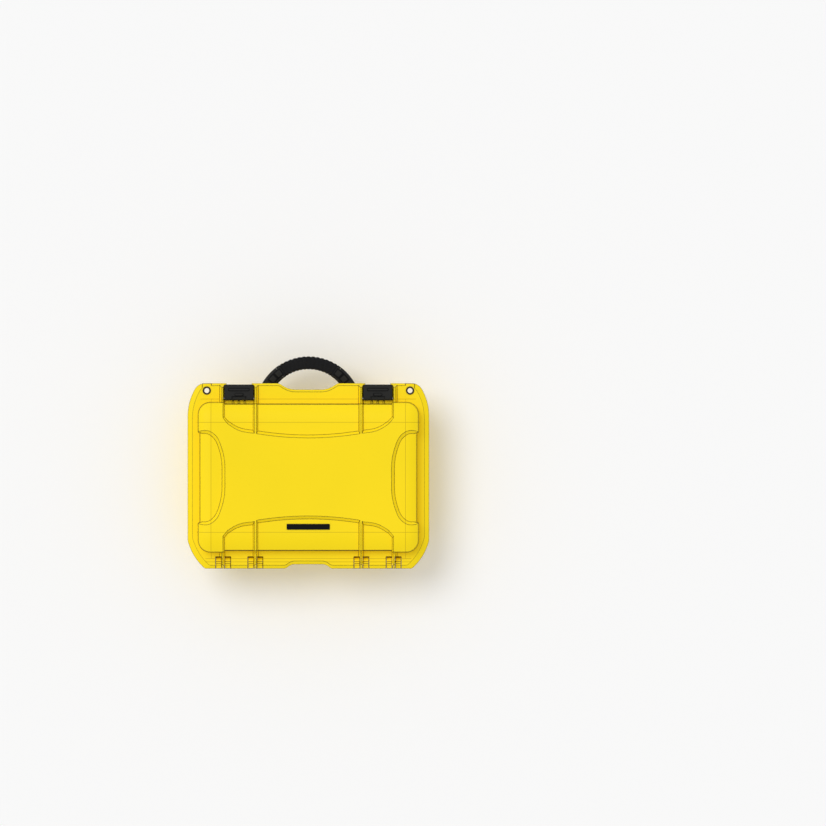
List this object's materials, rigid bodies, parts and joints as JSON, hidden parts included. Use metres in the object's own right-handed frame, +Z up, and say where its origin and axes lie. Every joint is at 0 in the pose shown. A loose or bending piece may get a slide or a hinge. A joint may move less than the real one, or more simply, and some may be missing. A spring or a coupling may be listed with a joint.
{
  "type": "hard case",
  "caption": "Moulded hard case with a domed ribbed lid on pinned hinges, lever latches with claws and slide locks, padlock holes, a gasket and a fold-down carrying handle.",
  "frame": {"origin": "on the surface that the base rests on, under the middle of the rim", "axes": "+Z up out of the lid, X along the width, -Y towards the handle and latches, +Y towards the hinge"},
  "size_m": [0.46, 0.4046, 0.155],
  "materials": {
    "yellow_shell": "fine moulded texture",
    "black_plastic": "satin moulded",
    "soft_grip": "soft matte",
    "seal_rubber": "matte",
    "pin_steel": "drawn",
    "plate_black": "satin, blank",
    "eyelet_dark": "dark satin"
  },
  "bodies": {
    "base": {"base_shell": "yellow_shell", "valve_body": "black_plastic", "valve_seal": "seal_rubber", "valve_nut": "black_plastic", "hinge_pin_outer_left": "pin_steel", "hinge_pin_inner_left": "pin_steel", "handle_pin_left": "pin_steel", "hinge_pin_outer_right": "pin_steel", "hinge_pin_inner_right": "pin_steel", "handle_pin_right": "pin_steel"},
    "lid": {"lid_shell": "yellow_shell", "lid_gasket": "seal_rubber", "name_plate": "plate_black", "padlock_eyelet_left": "eyelet_dark", "lever_pin_left": "pin_steel", "padlock_eyelet_right": "eyelet_dark", "lever_pin_right": "pin_steel"},
    "handle": {"handle_frame": "black_plastic", "handle_grip": "soft_grip"},
    "latch_lever_left": {"latch_lever_left": "black_plastic", "claw_pin_left": "pin_steel"},
    "latch_claw_left": {"latch_claw_left": "black_plastic"},
    "latch_slide_left": {"latch_slide_left": "black_plastic"},
    "latch_lever_right": {"latch_lever_right": "black_plastic", "claw_pin_right": "pin_steel"},
    "latch_claw_right": {"latch_claw_right": "black_plastic"},
    "latch_slide_right": {"latch_slide_right": "black_plastic"}
  },
  "joints": [
    {"name": "lid_hinge", "type": "hinge", "parent": "base", "child": "lid", "pos_m": [0, 0.164, 0.11], "axis": [-1, 0, 0], "range_deg": [0, 100]},
    {"name": "handle_pivot", "type": "hinge", "parent": "base", "child": "handle", "pos_m": [0, -0.16, 0.085], "axis": [1, 0, 0], "range_deg": [0, 90]},
    {"name": "latch_lever_pivot_left", "type": "hinge", "parent": "lid", "child": "latch_lever_left", "pos_m": [-0.13225, -0.1476, 0.1234], "axis": [-1, 0, 0], "range_deg": [0, 75]},
    {"name": "latch_claw_pivot_left", "type": "hinge", "parent": "latch_lever_left", "child": "latch_claw_left", "pos_m": [-0.13225, -0.1694, 0.124], "axis": [-1, 0, 0], "range_deg": [-6, 60]},
    {"name": "latch_slide_left_travel", "type": "slide", "parent": "latch_lever_left", "child": "latch_slide_left", "axis": [1, 0, 0], "range_m": [0, 0.004]},
    {"name": "latch_lever_pivot_right", "type": "hinge", "parent": "lid", "child": "latch_lever_right", "pos_m": [0.13225, -0.1476, 0.1234], "axis": [-1, 0, 0], "range_deg": [0, 75]},
    {"name": "latch_claw_pivot_right", "type": "hinge", "parent": "latch_lever_right", "child": "latch_claw_right", "pos_m": [0.13225, -0.1694, 0.124], "axis": [-1, 0, 0], "range_deg": [-6, 60]},
    {"name": "latch_slide_right_travel", "type": "slide", "parent": "latch_lever_right", "child": "latch_slide_right", "axis": [-1, 0, 0], "range_m": [0, 0.004]}
  ]
}
